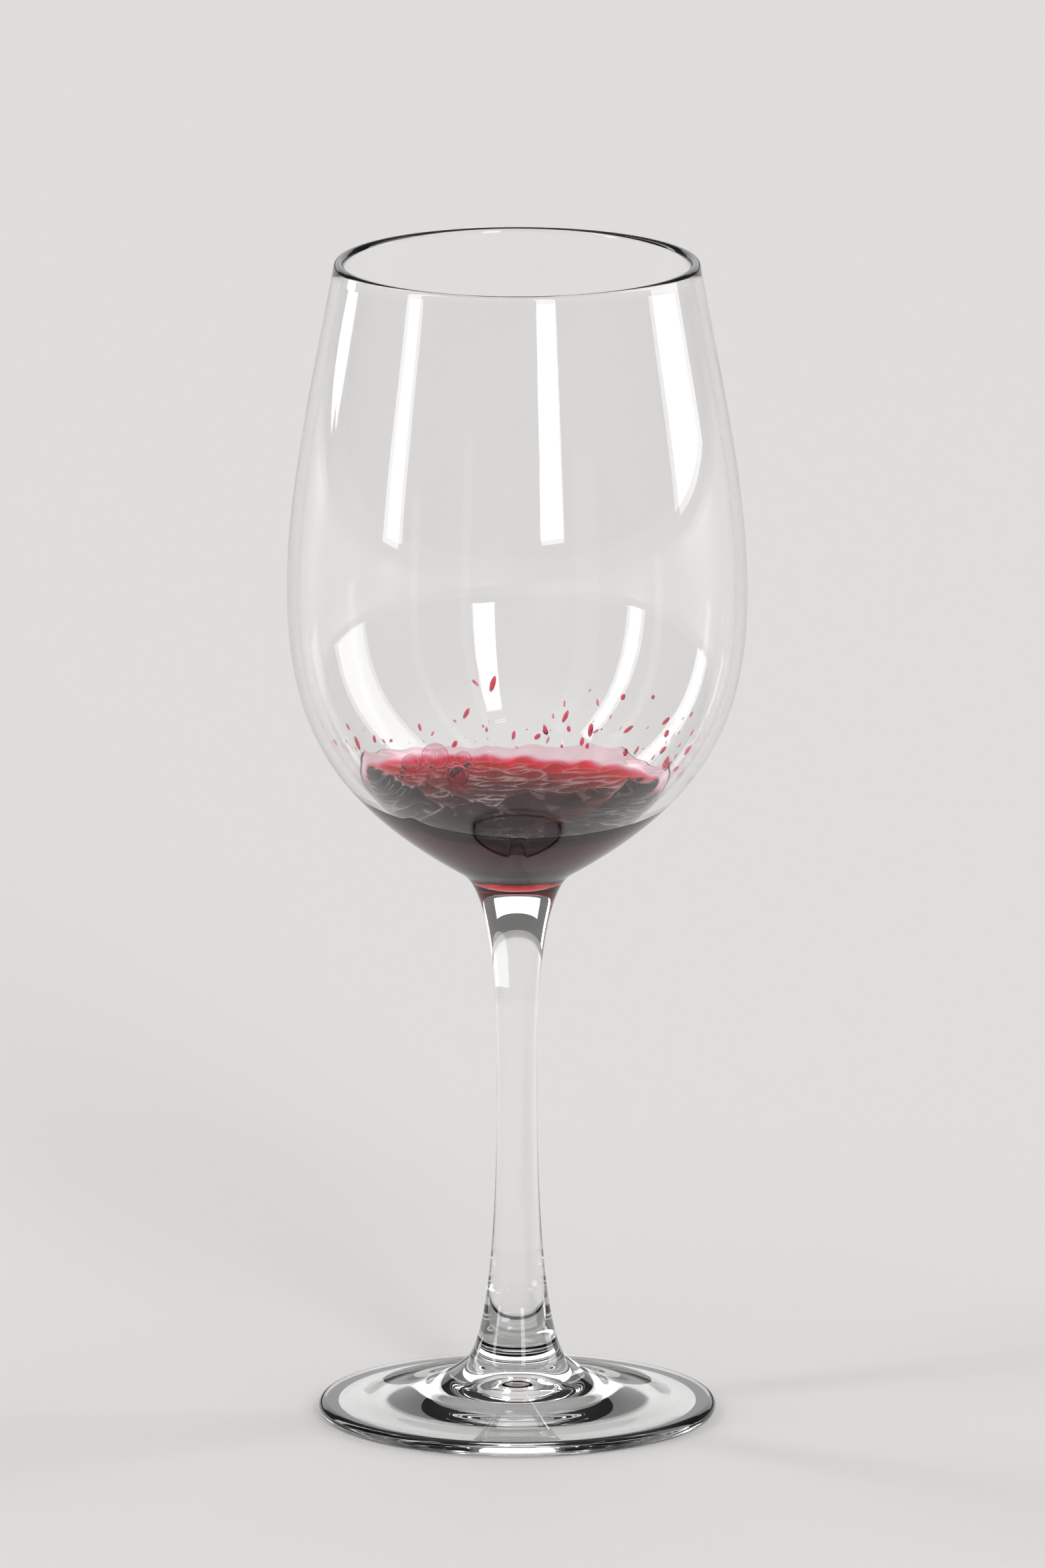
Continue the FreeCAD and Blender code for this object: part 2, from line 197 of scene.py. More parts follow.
class WineSizes(bpy.types.PropertyGroup):
    """Depth, waves and film of the wine."""

    depth: length("Depth", "Depth over the lowest point of the inside", 14.1)
    tilt_left: share("Tilt Left", "Rise to the left", 0.034)
    tilt_back: share("Tilt Back", "Rise to the back", 0.06)
    wall_rise: share("Wall Rise", "Rise to both sides, for each mm squared", 0.0026)
    crest_height: length("Crest Height", "Long crest slantwise across the glass", 2.4)
    crest_front: length("Crest Front", "How far in front its middle stands", 9.0)
    crest_turn: angle("Crest Turn", "Its slant from left to right", 31.8)
    crest_breadth: length("Crest Breadth", "Its half breadth", 2.0)
    crest_reach: length("Crest Reach", "Its half length", 23.5)
    swell_height: length("Swell Height", "Shorter crest beside the left wall", 2.2)
    swell_left: length("Swell Left", "Its middle, left of the axis", 22.0)
    swell_front: length("Swell Front", "Its middle, in front of the axis", 2.0)
    swell_turn: angle("Swell Turn", "Its slant from left to right", -65.0)
    swell_breadth: length("Swell Breadth", "Its half breadth", 1.9)
    swell_reach: length("Swell Reach", "Its half length", 11.0)
    pour_right: length("Pour Right", "Where wine ran in, right of the axis", 6.9)
    pour_back: length("Pour Back", "Where wine ran in, behind the axis", 24.0)
    ripple_height: length("Ripple Height", "Rings that run out from there", 0.32)
    ripple_length: length("Ripple Length", "From one ring to the next", 6.4)
    ripple_reach: length("Ripple Reach", "Distance over which they die out", 26.0)
    chop_height: length("Chop Height", "Short sharp waves on all of it", 0.2)
    reach: length("Reach", "How far the film reaches into the wall", 0.02)
    deep_reach: length("Deep Reach", "What the wine below it adds to that", 0.55)
    meniscus: length("Meniscus", "Rise of the surface at the wall", 0.8)
    meniscus_width: length("Meniscus Width", "Distance over which it falls off", 1.0)
    film_thickness: length("Film Thickness", "Thinnest wine on the wet wall", 0.008)
    streak_thickness: length("Streak Thickness", "What its streaks add", 0.03)
    bead_thickness: length("Bead Thickness", "What its upper edge adds", 0.03)


class SplashSizes(bpy.types.PropertyGroup):
    """Bubbles on the wine and drops on the wall."""

    bubble_count: IntProperty(
        name="Bubble Count", description="Small bubbles, before the crowded ones go", default=70)
    bubble_size: length("Bubble Size", "Radius of the largest of the small bubbles", 1.3)
    bubble_skin: length("Bubble Skin", "Thickness of their skin", 0.03)
    drop_count: IntProperty(name="Drop Count", description="Drops on the wall", default=110)
    drop_size: length("Drop Size", "Half width of the largest drop", 0.5)
    seed: IntProperty(name="Seed", description="Start of the random places", default=5)


class StageSettings(bpy.types.PropertyGroup):
    """Floor, surroundings, lights and camera."""

    floor_size: FloatProperty(
        name="Floor Size", description="Side of the floor", default=60.0, unit="LENGTH")
    floor_colour: colour("Floor Colour", "Pale floor", (0.80, 0.79, 0.78))
    sky_brightness: FloatProperty(
        name="Sky Brightness", description="Soft light from high above", default=0.8)
    band_brightness: FloatProperty(
        name="Band Brightness", description="Surroundings near the horizon", default=0.2)
    exposure: FloatProperty(
        name="Exposure", description="Stops by which the view is brightened", default=-0.35)
    camera_rise: angle("Camera Rise", "Height of the camera above level", 12.3)
    camera_distance: FloatProperty(
        name="Camera Distance", description="From the glass", default=5.0, unit="LENGTH")
    field_height: length("Field Height", "Height that fits the view at the glass", 293.0)
    aim_right: length("Aim Right", "The view's middle, right of the axis", 1.0)
    aim_height: length("Aim Height", "The view's middle, above the floor", 120.5)


def bezier(poles, count):
    """Points of a Bezier curve: its poles weighted by the Bernstein polynomials at even steps."""
    degree = len(poles) - 1
    step = np.linspace(0.0, 1.0, count)[:, None]
    weights = [math.comb(degree, k) * step**k * (1 - step) ** (degree - k) for k in range(degree + 1)]
    return sum(weight * np.asarray(pole, float) for weight, pole in zip(weights, poles))


def half_turn(centre, radius, start, count):
    """A half circle: centre plus radius times cosine and sine, anticlockwise from a start angle."""
    turn = start + np.linspace(0.0, math.pi, count)[:, None]
    return np.asarray(centre) + radius * np.hstack([np.cos(turn), np.sin(turn)])


def joined(curves):
    """One polyline from curves laid end to end, without the doubled joints."""
    return np.vstack([curves[0]] + [curve[1:] for curve in curves[1:]])


def level_swing(start, end, count):
    """A Bezier that leaves its start level and arrives level, both handles half the way long."""
    middle = (start[0] + end[0]) / 2
    return bezier([start, (middle, start[1]), (middle, end[1]), end], count)


def along(angle_value):
    """Unit vector at an angle above level, as (radius, height)."""
    return np.array([math.cos(angle_value), math.sin(angle_value)])


def neck_handle(sizes):
    """The outside's control point above the neck, along its slope there."""
    neck = np.array([sizes.neck_radius, sizes.neck_height])
    drop = sizes.belly_height - sizes.neck_height
    return neck + sizes.neck_pull_up * drop * along(sizes.neck_slope)


def lip_frame(sizes):
    """Centre of the rounded lip, the way out of the leaning wall there and the way down it."""
    half_lip = sizes.lip_thickness / 2
    centre = np.array([sizes.rim_radius - half_lip, FRAME_HIGH.z - half_lip])
    out = along(sizes.rim_lean)
    return centre, out, np.array([out[1], -out[0]])


def lower_inside(sizes, count):
    """Inside of the bowl from its widest place to the axis: a Bezier of five poles."""
    radius = FRAME_HIGH.x - sizes.bowl_wall
    floor = WINE_LOW.z
    turn = neck_handle(sizes)
    return bezier([
        (radius, sizes.belly_height),
        (radius, sizes.belly_height - sizes.inside_drop_pull * (sizes.belly_height - floor)),
        (turn[0] - sizes.inside_turn_in * radius, turn[1] + sizes.inside_turn_up),
        (sizes.neck_radius + sizes.floor_spread, floor),
        (0.0, floor),
    ], count)


def upper_inside(sizes, count):
    """Inside of the bowl from the lip to its widest place: a Bezier along the leaning wall."""
    centre, out, down = lip_frame(sizes)
    start = centre - sizes.lip_thickness / 2 * out
    rise = FRAME_HIGH.z - sizes.belly_height
    radius = FRAME_HIGH.x - sizes.bowl_wall
    return bezier([
        start,
        start + sizes.inside_rim_pull * rise * down,
        (radius, sizes.belly_height + sizes.inside_belly_pull * rise),
        (radius, sizes.belly_height),
    ], count)


class InsideWall:
    """The inside of the bowl as a line that starts on the axis and is read by its arc length."""

    def __init__(self, sizes):
        points = joined([upper_inside(sizes, 300), lower_inside(sizes, 900)])[::-1]
        steps = np.linalg.norm(np.diff(points, axis=0), axis=1)
        self.run = np.concatenate([[0.0], np.cumsum(steps)])
        self.radius, self.height = points.T
        tangent = np.gradient(points, axis=0)
        self.tangent = tangent / np.linalg.norm(tangent, axis=1)[:, None]

    def at(self, run, offset=0.0):
        """Radius and height at arc lengths, moved by an offset along the normal into the wall."""
        out = np.interp(run, self.run, self.tangent[:, 1])
        up = -np.interp(run, self.run, self.tangent[:, 0])
        radius = np.interp(run, self.run, self.radius) + offset * out
        return radius, np.interp(run, self.run, self.height) + offset * up

    def run_at(self, height):
        """Arc length at a height."""
        return np.interp(height, self.height, self.run)


def glass_profile(sizes):
    """Half section of the glass from the underside's middle round the outside to the bowl floor.

    The last number of each curve is its count of points.
    """
    bowl = FRAME_HIGH.x
    edge_centre = sizes.foot_radius - sizes.foot_edge / 2
    ring_inside = edge_centre - sizes.ring_width
    span = edge_centre - sizes.collar_radius
    lower = sizes.waist_height - sizes.collar_height
    upper = sizes.neck_height - sizes.waist_height
    drop = sizes.belly_height - sizes.neck_height
    rise = FRAME_HIGH.z - sizes.belly_height
    half_lip = sizes.lip_thickness / 2
    lip_centre, lip_out, lip_down = lip_frame(sizes)
    neck = np.array([sizes.neck_radius, sizes.neck_height])
    collar = np.array([sizes.collar_radius, sizes.collar_height])
    belly = (bowl, sizes.belly_height)
    waist = (sizes.stem_radius, sizes.waist_height)
    dimple = (sizes.dimple_radius, sizes.dimple_height)
    dome = (sizes.dome_radius, sizes.dome_height)
    return joined([
        level_swing((0.0, sizes.dimple_top), dimple, 22),
        level_swing(dimple, dome, 20),
        level_swing(dome, (ring_inside, 0.0), 16),
        bezier([(ring_inside, 0.0), (edge_centre, 0.0)], 4),
        half_turn((edge_centre, sizes.foot_edge / 2), sizes.foot_edge / 2, -math.pi / 2, 18),
        bezier([
            (edge_centre, sizes.foot_edge),
            (edge_centre - sizes.foot_pull_in * span, sizes.foot_edge),
            collar + sizes.foot_pull_out * span * along(-sizes.foot_slope),
            collar,
        ], 40),
        bezier([
            collar,
            collar + sizes.collar_pull * lower * along(math.pi / 2 + sizes.collar_lean),
            (sizes.stem_radius, sizes.waist_height - sizes.waist_pull_down * lower),
            waist,
        ], 44),
        bezier([
            waist,
            (sizes.stem_radius, sizes.waist_height + sizes.waist_pull_up * upper),
            neck - sizes.neck_pull_down * upper * along(sizes.neck_slope),
            neck,
        ], 50),
        bezier([
            neck,
            neck_handle(sizes),
            (bowl, sizes.belly_height - sizes.belly_pull_down * drop),
            belly,
        ], 48),
        bezier([
            belly,
            (bowl, sizes.belly_height + sizes.belly_pull_up * rise),
            lip_centre + half_lip * lip_out + sizes.rim_pull * rise * lip_down,
            lip_centre + half_lip * lip_out,
        ], 34),
        half_turn(lip_centre, half_lip, sizes.rim_lean, 16),
        upper_inside(sizes, 34),
        lower_inside(sizes, 56),
    ])


def ridge(x, y, turn, height, breadth, reach):
    """A bump over the origin: a bell curve along a turned line times a narrower one across it."""
    on_line = x * math.cos(turn) + y * math.sin(turn)
    off_line = y * math.cos(turn) - x * math.sin(turn)
    return height * np.exp(-((on_line / reach) ** 2) - (off_line / breadth) ** 2)


def slosh_height(wine, x, y):
    """Height of the wine: a tilted sheet that climbs both sides, two ridges and dying rings."""
    sheet = wine.tilt_back * y - wine.tilt_left * x + wine.wall_rise * x**2 / MM
    crest = ridge(
        x, y + wine.crest_front,
        wine.crest_turn, wine.crest_height, wine.crest_breadth, wine.crest_reach)
    swell = ridge(
        x + wine.swell_left, y + wine.swell_front,
        wine.swell_turn, wine.swell_height, wine.swell_breadth, wine.swell_reach)
    from_pour = np.hypot(x - wine.pour_right, y - wine.pour_back)
    fading = wine.ripple_height * np.exp(-from_pour / wine.ripple_reach)
    rings = fading * np.cos(2 * math.pi * from_pour / wine.ripple_length)
    return WINE_LOW.z + wine.depth + sheet + crest + swell + rings


def bent(across, bends):
    """How far lines are pushed aside: the sum of sine waves of a place across, in metres."""
    return sum(size * MM * np.sin(across / (wave * MM) + phase) for size, wave, phase in bends)


def chop(wine, x, y):
    """Short waves: sine trains of falling length and seeded heading, on bent lines.

    Each train adds one minus twice its absolute sine, which pinches its crests.
    """
    random = np.random.default_rng(CHOP_SEED)
    bent_x = x + bent(y, BENDS_RIGHT)
    bent_y = y + bent(x, BENDS_BACK)
    total = np.zeros_like(x)
    for train_length, weight in CHOP_TRAINS:
        heading = random.normal(CHOP_HEADING, CHOP_SPREAD)
        way = bent_x * math.cos(heading) + bent_y * math.sin(heading)
        wave = np.sin(2 * math.pi * way / (train_length * MM) + random.uniform(0.0, 6.3))
        total += weight * (1.0 - 2.0 * np.abs(wave))
    return wine.chop_height * total


def wobble(on_line, waves, phases):
    """The sum of sine waves along a line, each with its size, length and phase."""
    return sum(size * np.sin(on_line / wave + phase) for (size, wave), phase in zip(waves, phases))


def sharp_crests(x, y):
    """Crests that end in an edge: each falls off as e to minus its distance from a wavy line."""
    total = np.zeros_like(x)
    for right, behind, turn, height, thickness, reach in SHARP_CRESTS:
        lean = math.radians(turn)
        on_line = (x / MM - right) * math.cos(lean) + (y / MM - behind) * math.sin(lean)
        off_line = (y / MM - behind) * math.cos(lean) - (x / MM - right) * math.sin(lean)
        off_line += wobble(on_line, CREST_BENDS, (behind, right))
        uneven = 1.0 + wobble(on_line, CREST_UNEVENNESS, (right, behind))
        away = np.hypot(off_line, CREST_EDGE)
        total += height * MM * uneven * np.exp(-((on_line / reach) ** 2) - away / thickness)
    return total


def loop_faces(rows, columns):
    """Quads of a grid that closes on itself sideways; rows run up, columns anticlockwise."""
    row, column = np.meshgrid(np.arange(rows - 1), np.arange(columns), indexing="ij")
    after = (column + 1) % columns
    corners = [row * columns + column, row * columns + after,
               (row + 1) * columns + after, (row + 1) * columns + column]
    return np.stack(corners, axis=-1).reshape(-1, 4)


def capped_rings(x, y, z, first, last):
    """Vertices and faces of rings of points, closed by a fan to one point before and after."""
    rows, columns = x.shape
    vertices = np.vstack([np.stack([x, y, z], axis=-1).reshape(-1, 3), first, last])
    column = np.arange(columns)
    after = (column + 1) % columns
    start = np.full(columns, rows * columns)
    end_row = (rows - 1) * columns
    fans = np.vstack([
        np.stack([start, after, column], axis=-1),
        np.stack([end_row + column, end_row + after, start + 1], axis=-1),
    ])
    return vertices, loop_faces(rows, columns), fans


def mesh_piece(name, vertices, quads, triangles, material):
    """Put whole arrays of vertices and faces into a new smooth-shaded object at the origin."""
    mesh = bpy.data.meshes.new(name)
    mesh.vertices.add(len(vertices))
    mesh.vertices.foreach_set("co", np.asarray(vertices, np.float32).ravel())
    corners = np.concatenate([quads.ravel(), triangles.ravel()]).astype(np.int32)
    totals = np.concatenate([np.full(len(quads), 4), np.full(len(triangles), 3)])
    starts = np.concatenate([[0], np.cumsum(totals)[:-1]])
    mesh.loops.add(len(corners))
    mesh.loops.foreach_set("vertex_index", corners)
    mesh.polygons.add(len(totals))
    mesh.polygons.foreach_set("loop_start", starts.astype(np.int32))
    mesh.polygons.foreach_set("use_smooth", np.ones(len(totals), bool))
    mesh.materials.append(material)
    mesh.update(calc_edges=True)
    mesh.validate()
    piece = bpy.data.objects.new(name, mesh)
    bpy.context.scene.collection.objects.link(piece)
    return piece


def add_node(tree, kind, **settings):
    """Add a shader node and set its inputs to plain values, an underscore read as a space."""
    node = tree.nodes.new(kind)
    for key, value in settings.items():
        node.inputs[key.replace("_", " ")].default_value = value
    return node


def clear_body(name, ior, tint, absorbed, density):
    """A clear dielectric that colours light by the depth it has crossed."""
    material = bpy.data.materials.new(name)
    material.use_nodes = True
    tree = material.node_tree
    shader = tree.nodes["Principled BSDF"]
    shader.inputs["Base Color"].default_value = (*tint, 1.0)
    shader.inputs["Roughness"].default_value = 0.0
    shader.inputs["Transmission Weight"].default_value = 1.0
    shader.inputs["IOR"].default_value = ior
    depth = add_node(tree, "ShaderNodeVolumeAbsorption", Color=(*absorbed, 1.0), Density=density)
    tree.links.new(depth.outputs["Volume"], tree.nodes["Material Output"].inputs["Volume"])
    return material


def uneven_finish(material, grain, rough, relief, stretch):
    """Slight unevenness: noise in object space drives the roughness and a shallow bump."""
    tree = material.node_tree
    shader = tree.nodes["Principled BSDF"]
    place = tree.nodes.new("ShaderNodeTexCoord")
    mapping = add_node(tree, "ShaderNodeMapping", Scale=stretch)
    noise = add_node(tree, "ShaderNodeTexNoise", Scale=grain, Detail=3.0)
    spread = add_node(
        tree, "ShaderNodeMapRange", From_Min=0.35, From_Max=0.75, To_Min=0.0, To_Max=rough)
    bump = add_node(tree, "ShaderNodeBump", Strength=0.12, Distance=relief)
    tree.links.new(place.outputs["Object"], mapping.inputs["Vector"])
    tree.links.new(mapping.outputs["Vector"], noise.inputs["Vector"])
    tree.links.new(noise.outputs["Fac"], spread.inputs["Value"])
    tree.links.new(spread.outputs["Result"], shader.inputs["Roughness"])
    tree.links.new(noise.outputs["Fac"], bump.inputs["Height"])
    tree.links.new(bump.outputs["Normal"], shader.inputs["Normal"])


def glass_material():
    """Polished glass with a trace of green in thick places and a long, shallow waviness."""
    material = clear_body(
        "clear_glass", ior=1.52, tint=(1.0, 1.0, 1.0), absorbed=(0.80, 0.93, 0.90), density=6.0)
    uneven_finish(material, grain=60.0, rough=0.012, relief=0.2 * MM, stretch=(1.0, 1.0, 0.35))
    return material


def wine_material(name="red_wine"):
    """Red wine: ruby where thin, almost black where deep, with a painted red tint on its reflections.
    """
    material = clear_body(
        name, ior=1.34, tint=(1.0, 0.93, 0.95), absorbed=(0.955, 0.0, 0.25), density=4000.0)
    shader = material.node_tree.nodes["Principled BSDF"]
    # Painted reflection: the red specular tint makes the wine's gleam look as if red surroundings
    # were mirrored in it.
    shader.inputs["Specular Tint"].default_value = (1.0, 0.5, 0.55, 1.0)
    uneven_finish(material, grain=250.0, rough=0.015, relief=0.2 * MM, stretch=(1.0, 1.0, 1.0))
    return material


def around(columns):
    """Even steps once round the axis."""
    return np.linspace(0.0, 2 * math.pi, columns, endpoint=False)


def bell(turn, middle, breadth):
    """A bell curve round the axis, with its middle and half breadth in degrees."""
    away = (turn - math.radians(middle) + math.pi) % (2 * math.pi) - math.pi
    return np.exp(-((away / math.radians(breadth)) ** 2))


def shore_run(wall, wine, turn):
    """Arc length up the wall where the wine's surface, raised by its meniscus, meets it.

    From a first radius, the surface's height gives a place on the wall, and its radius the next.
    """
    run = np.full(turn.shape, wall.run_at(WINE_LOW.z + wine.depth))
    for _ in range(40):
        radius, _ = wall.at(run)
        level = slosh_height(wine, radius * np.cos(turn), radius * np.sin(turn)) + wine.meniscus
        run = 0.5 * run + 0.5 * wall.run_at(level)
    return run


def film_run(wall, wine, turn):
    """Arc length up the wall to the film's ragged upper edge.

    Above the shore it adds a narrow margin, bells where wine has washed up, and a small ripple.
    """
    margin = FILM_MARGIN + sum(top * bell(turn, middle, broad) for top, middle, broad in FILM_WASHES)
    ragged = 1.0 + sum(size * np.sin(waves * turn + phase) for waves, size, phase in FILM_RIPPLES)
    return shore_run(wall, wine, turn) + margin * ragged * MM


def film_depth(wine, turn, run, edge):
    """Thickness of the film: a thin layer, slanting streaks and a bead that tapers at its edge."""
    up = (run - edge) / MM
    slant = 9.0 * turn + 0.35 * up + 0.8 * np.sin(5.0 * turn) + 0.5 * np.sin(0.9 * up + 3.0 * turn)
    streak = (1.0 - np.abs(np.sin(slant))) ** 3 + 0.6 * (1.0 - np.abs(np.sin(2.3 * slant + 1.0))) ** 4
    bead = np.exp(-(((up + 0.45) / 0.4) ** 2))
    taper = 1.0 - np.exp(-((up / 0.35) ** 2))
    layer = wine.film_thickness + wine.streak_thickness * streak + wine.bead_thickness * bead
    return layer * taper + FILM_LEAST * MM


class RedWineGlass(bpy.types.Operator):
    """Turn the glass as one closed piece: underside, foot, stem, bowl and rounded lip"""

    bl_idname = "red_wine.glass"
    bl_label = "Glass"

    def execute(self, context):
        sizes = context.scene.glass_sizes
        profile = glass_profile(sizes)
        turn = around(sizes.segments)
        radius, height = profile[1:-1, :1], profile[1:-1, 1:]
        vertices, quads, fans = capped_rings(
            radius * np.cos(turn), radius * np.sin(turn), height + 0.0 * turn,
            (0.0, 0.0, profile[0, 1]), (0.0, 0.0, profile[-1, 1]))
        glass = mesh_piece("wine_glass", vertices, quads, fans, glass_material())
        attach(glass, "root")
        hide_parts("glass")
        return {"FINISHED"}


class RedWineWine(bpy.types.Operator):
    """Fill the bottom of the bowl with wine: it reaches just into the wall and wets it above"""

    bl_idname = "red_wine.wine"
    bl_label = "Wine"
    columns = 448
    side_rows = 46
    film_rows = 24
    top_rows = 120
    seat_width = 4.0 * MM
    calm_width = 1.5 * MM
    crowding = 0.85

    def execute(self, context):
        wine = context.scene.wine_sizes
        wall = InsideWall(context.scene.glass_sizes)
        turn = around(self.columns)
        shore = shore_run(wall, wine, turn)
        edge = film_run(wall, wine, turn)
        rise = np.linspace(0.0, 1.0, self.side_rows + 1)[1:, None]
        below = np.clip((shore - edge * rise) / self.seat_width, 0.0, 1.0)
        side = wall.at(edge * rise, wine.reach + wine.deep_reach * below**2 * (3.0 - 2.0 * below))
        fall = np.linspace(0.0, 1.0, self.film_rows)[:, None]
        run = edge + (shore - edge) * fall
        film = wall.at(run, -film_depth(wine, turn, run, edge))
        inward = np.linspace(1.0, 0.0, self.top_rows + 1)[1:-1, None] ** self.crowding
        radius = film[0][-1] * inward
        x, y = radius * np.cos(turn), radius * np.sin(turn)
        away = film[0][-1] - radius
        calm = 1.0 - np.exp(-((away / self.calm_width) ** 2))
        rough = calm * (chop(wine, x, y) + sharp_crests(x, y))
        shore_level = slosh_height(wine, film[0][-1] * np.cos(turn), film[0][-1] * np.sin(turn))
        climb = (film[1][-1] - shore_level) * np.exp(-away / wine.meniscus_width)
        top_height = slosh_height(wine, x, y) + climb + rough
        radius = np.vstack([side[0], film[0], radius])
        height = np.vstack([side[1], film[1], top_height])
        vertices, quads, fans = capped_rings(
            radius * np.cos(turn), radius * np.sin(turn), height,
            (0.0, 0.0, WINE_LOW.z - wine.reach - wine.deep_reach),
            (0.0, 0.0, float(top_height[-1].mean())))
        piece = mesh_piece("red_wine", vertices, quads, fans, wine_material())
        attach(piece, "root")
        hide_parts("wine")
        return {"FINISHED"}


def ball(rows, columns):
    """A unit ball of rings at even steps from pole to pole."""
    tilt = np.linspace(-math.pi / 2, math.pi / 2, rows + 2)[1:-1, None]
    turn = around(columns)
    return capped_rings(
        np.cos(tilt) * np.cos(turn), np.cos(tilt) * np.sin(turn), np.sin(tilt) + 0.0 * turn,
        (0.0, 0.0, -1.0), (0.0, 0.0, 1.0))


def many(shape, centres, axes):
    """Copies of a shape: each point is a centre plus the shape's point times three half axes."""
    points, quads, fans = shape
    vertices = centres[:, None, :] + np.einsum("pk,nkc->npc", points, axes)
    shift = np.arange(len(centres))[:, None, None] * len(points)
    return vertices.reshape(-1, 3), (quads + shift).reshape(-1, 4), (fans + shift).reshape(-1, 3)


def both(first, second):
    """Two sets of vertices and faces as one."""
    shift = len(first[0])
    return (
        np.vstack([first[0], second[0]]), np.vstack([first[1], second[1] + shift]),
        np.vstack([first[2], second[2] + shift]))


class RedWineBubbles(bpy.types.Operator):
    """Float thin-skinned bubbles on the wine, most of them along its back left shore"""

    bl_idname = "red_wine.bubbles"
    bl_label = "Bubbles"
    bearing = 136.0
    bearing_spread = 15.0
    shore_radius = 25.4
    shore_spread = 2.4
    least_size = 0.4
    small_favoured = 1.6
    rise_share = 0.7
    clearance = 1.03

    def execute(self, context):
        splash = context.scene.splash_sizes
        wine = context.scene.wine_sizes
        random = np.random.default_rng(splash.seed)
        count = splash.bubble_count
        turn = np.radians(random.normal(self.bearing, self.bearing_spread, count))
        size = splash.bubble_size * random.uniform(self.least_size, 1.0, count) ** self.small_favoured
        inward = np.abs(random.normal(0.0, self.shore_spread, count))
        out = (self.shore_radius - inward) * MM - size
        right, behind, large, skins, lift = np.array(PLACED_BUBBLES).T * MM
        x = np.concatenate([right, out * np.cos(turn)])
        y = np.concatenate([behind, out * np.sin(turn)])
        radius = np.concatenate([large, size])
        skin = np.concatenate([skins, np.full(count, splash.bubble_skin)])
        rise = np.concatenate([lift, self.rise_share * size])
        centres = np.stack([x, y, slosh_height(wine, x, y) + rise], axis=-1)
        between = np.linalg.norm(centres[:, None] - centres[None], axis=-1)
        crowded = np.tril(between < self.clearance * (radius[:, None] + radius[None]), -1)
        alone = ~crowded.any(axis=1)
        centres, radius, skin = centres[alone], radius[alone], skin[alone]
        shape = ball(14, 24)
        outer = many(shape, centres, radius[:, None, None] * np.eye(3))
        inner = many(shape, centres, (radius - skin)[:, None, None] * np.eye(3))
        hollow = (inner[0], inner[1][:, ::-1], inner[2][:, ::-1])
        piece = mesh_piece("wine_bubbles", *both(outer, hollow), wine_material("bubble_skin"))
        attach(piece, "root")
        return {"FINISHED"}


class RedWineDrops(bpy.types.Operator):
    """Splash flattened drops over the inside of the bowl above the wine"""

    bl_idname = "red_wine.drops"
    bl_label = "Drops"
    bearing_spread = 13.0
    lowest = 1.5
    highest = 13.0
    height_shape = 1.6
    height_scale = 3.4
    least_size = 0.25
    small_favoured = 2.2
    lean_spread = 0.5
    least_stretch = 1.2
    most_stretch = 3.6
    depth_share = 0.8
    centre_share = 0.25

    def execute(self, context):
        splash = context.scene.splash_sizes
        wine = context.scene.wine_sizes
        wall = InsideWall(context.scene.glass_sizes)
        random = np.random.default_rng(splash.seed + 1)
        count = splash.drop_count
        middle = random.choice(DROP_BEARINGS, count, p=DROP_SHARES)
        turn = np.radians(random.normal(middle, self.bearing_spread))
        over = random.gamma(self.height_shape, self.height_scale, count)
        run = shore_run(wall, wine, turn) + (self.lowest + np.minimum(over, self.highest)) * MM
        half = splash.drop_size * random.uniform(self.least_size, 1.0, count) ** self.small_favoured
        radius, height = wall.at(run, -self.centre_share * half)
        ahead = np.stack(wall.at(run + 0.1 * MM)) - np.stack(wall.at(run))
        climb = ahead / np.linalg.norm(ahead, axis=0)
        side = np.stack([-np.sin(turn), np.cos(turn), np.zeros(count)], axis=-1)
        up = np.stack([climb[0] * np.cos(turn), climb[0] * np.sin(turn), climb[1]], axis=-1)
        lean = random.normal(0.0, self.lean_spread, count)[:, None]
        long_way = np.cos(lean) * up + np.sin(lean) * side
        wide_way = np.cos(lean) * side - np.sin(lean) * up
        stretch = random.uniform(self.least_stretch, self.most_stretch, count)
        axes = np.stack([
            half[:, None] * wide_way,
            (half * stretch)[:, None] * long_way,
            self.depth_share * half[:, None] * np.cross(wide_way, long_way),
        ], axis=1)
        centres = np.stack([radius * np.cos(turn), radius * np.sin(turn), height], axis=-1)
        piece = mesh_piece(
            "wine_drops", *many(ball(10, 16), centres, axes), wine_material("wine_drop"))
        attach(piece, "root")
        return {"FINISHED"}


def add_softbox(name, bearing, middle, size, brightness):
    """A rectangular soft light at a bearing from the front, turned to face the glass.

    Its power is its brightness times its area times pi, so that only its outline sets the look.
    """
    lamp = bpy.data.lights.new(name, "AREA")
    lamp.shape = "RECTANGLE"
    lamp.size, lamp.size_y = size
    lamp.energy = brightness * size[0] * size[1] * math.pi
    box = bpy.data.objects.new(name, lamp)
    turn = math.radians(bearing)
    box.location = (SOFTBOX_DISTANCE * math.sin(turn), -SOFTBOX_DISTANCE * math.cos(turn), middle)
    aim = Vector((0.0, 0.0, middle)) - box.location
    box.rotation_euler = aim.to_track_quat("-Z", "Y").to_euler()
    bpy.context.scene.collection.objects.link(box)


